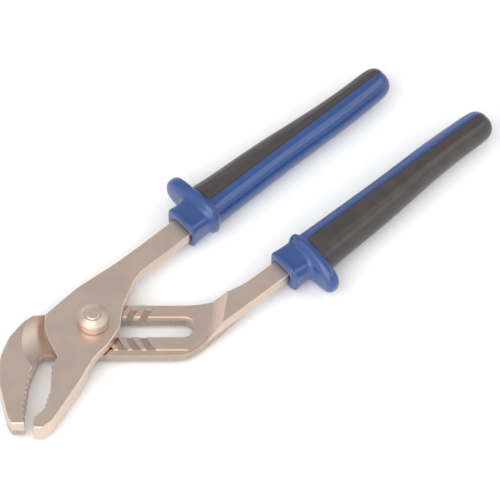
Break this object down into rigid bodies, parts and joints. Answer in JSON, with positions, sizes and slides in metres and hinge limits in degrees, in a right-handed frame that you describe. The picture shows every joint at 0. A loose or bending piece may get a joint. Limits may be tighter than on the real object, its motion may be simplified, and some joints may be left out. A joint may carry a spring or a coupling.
{
  "type": "tongue and groove pliers",
  "caption": "Slip-joint pliers with angled serrated jaws, a grooved slot and pivot bolt for setting the opening, and two-tone guarded grips.",
  "frame": {"origin": "centre of the pivot bolt head's outer face, with the bolt in the slot's first groove", "axes": "+Z along the pivot axis from the bolt head to the nut; +X along the adjusting slot, away from the jaws; +Y from the jaws' tips towards the handles"},
  "size_m": [0.2244, 0.1949, 0.0219],
  "materials": {
    "satin_steel": "satin nickel-chrome plating with a warm tone",
    "blue_sleeve": "smooth semi-matte blue vinyl",
    "dark_insert": "soft matte dark grey elastomer"
  },
  "bodies": {
    "slotted_half": {"slotted_arm": "satin_steel", "slotted_arm_grip": "blue_sleeve", "slotted_arm_insert": "dark_insert"},
    "pivot": {"pivot_bolt": "satin_steel", "pivot_nut": "satin_steel"},
    "pivoting_half": {"pivoting_arm": "satin_steel", "pivoting_arm_grip": "blue_sleeve", "pivoting_arm_insert": "dark_insert"}
  },
  "joints": [
    {"name": "slot_slide", "type": "slide", "parent": "slotted_half", "child": "pivot", "axis": [1, 0, 0], "range_m": [0, 0.0381]},
    {"name": "pivot_hinge", "type": "hinge", "parent": "pivot", "child": "pivoting_half", "pos_m": [0, 0, 0], "axis": [0, 0, 1], "range_deg": [-1.5, 42]}
  ]
}
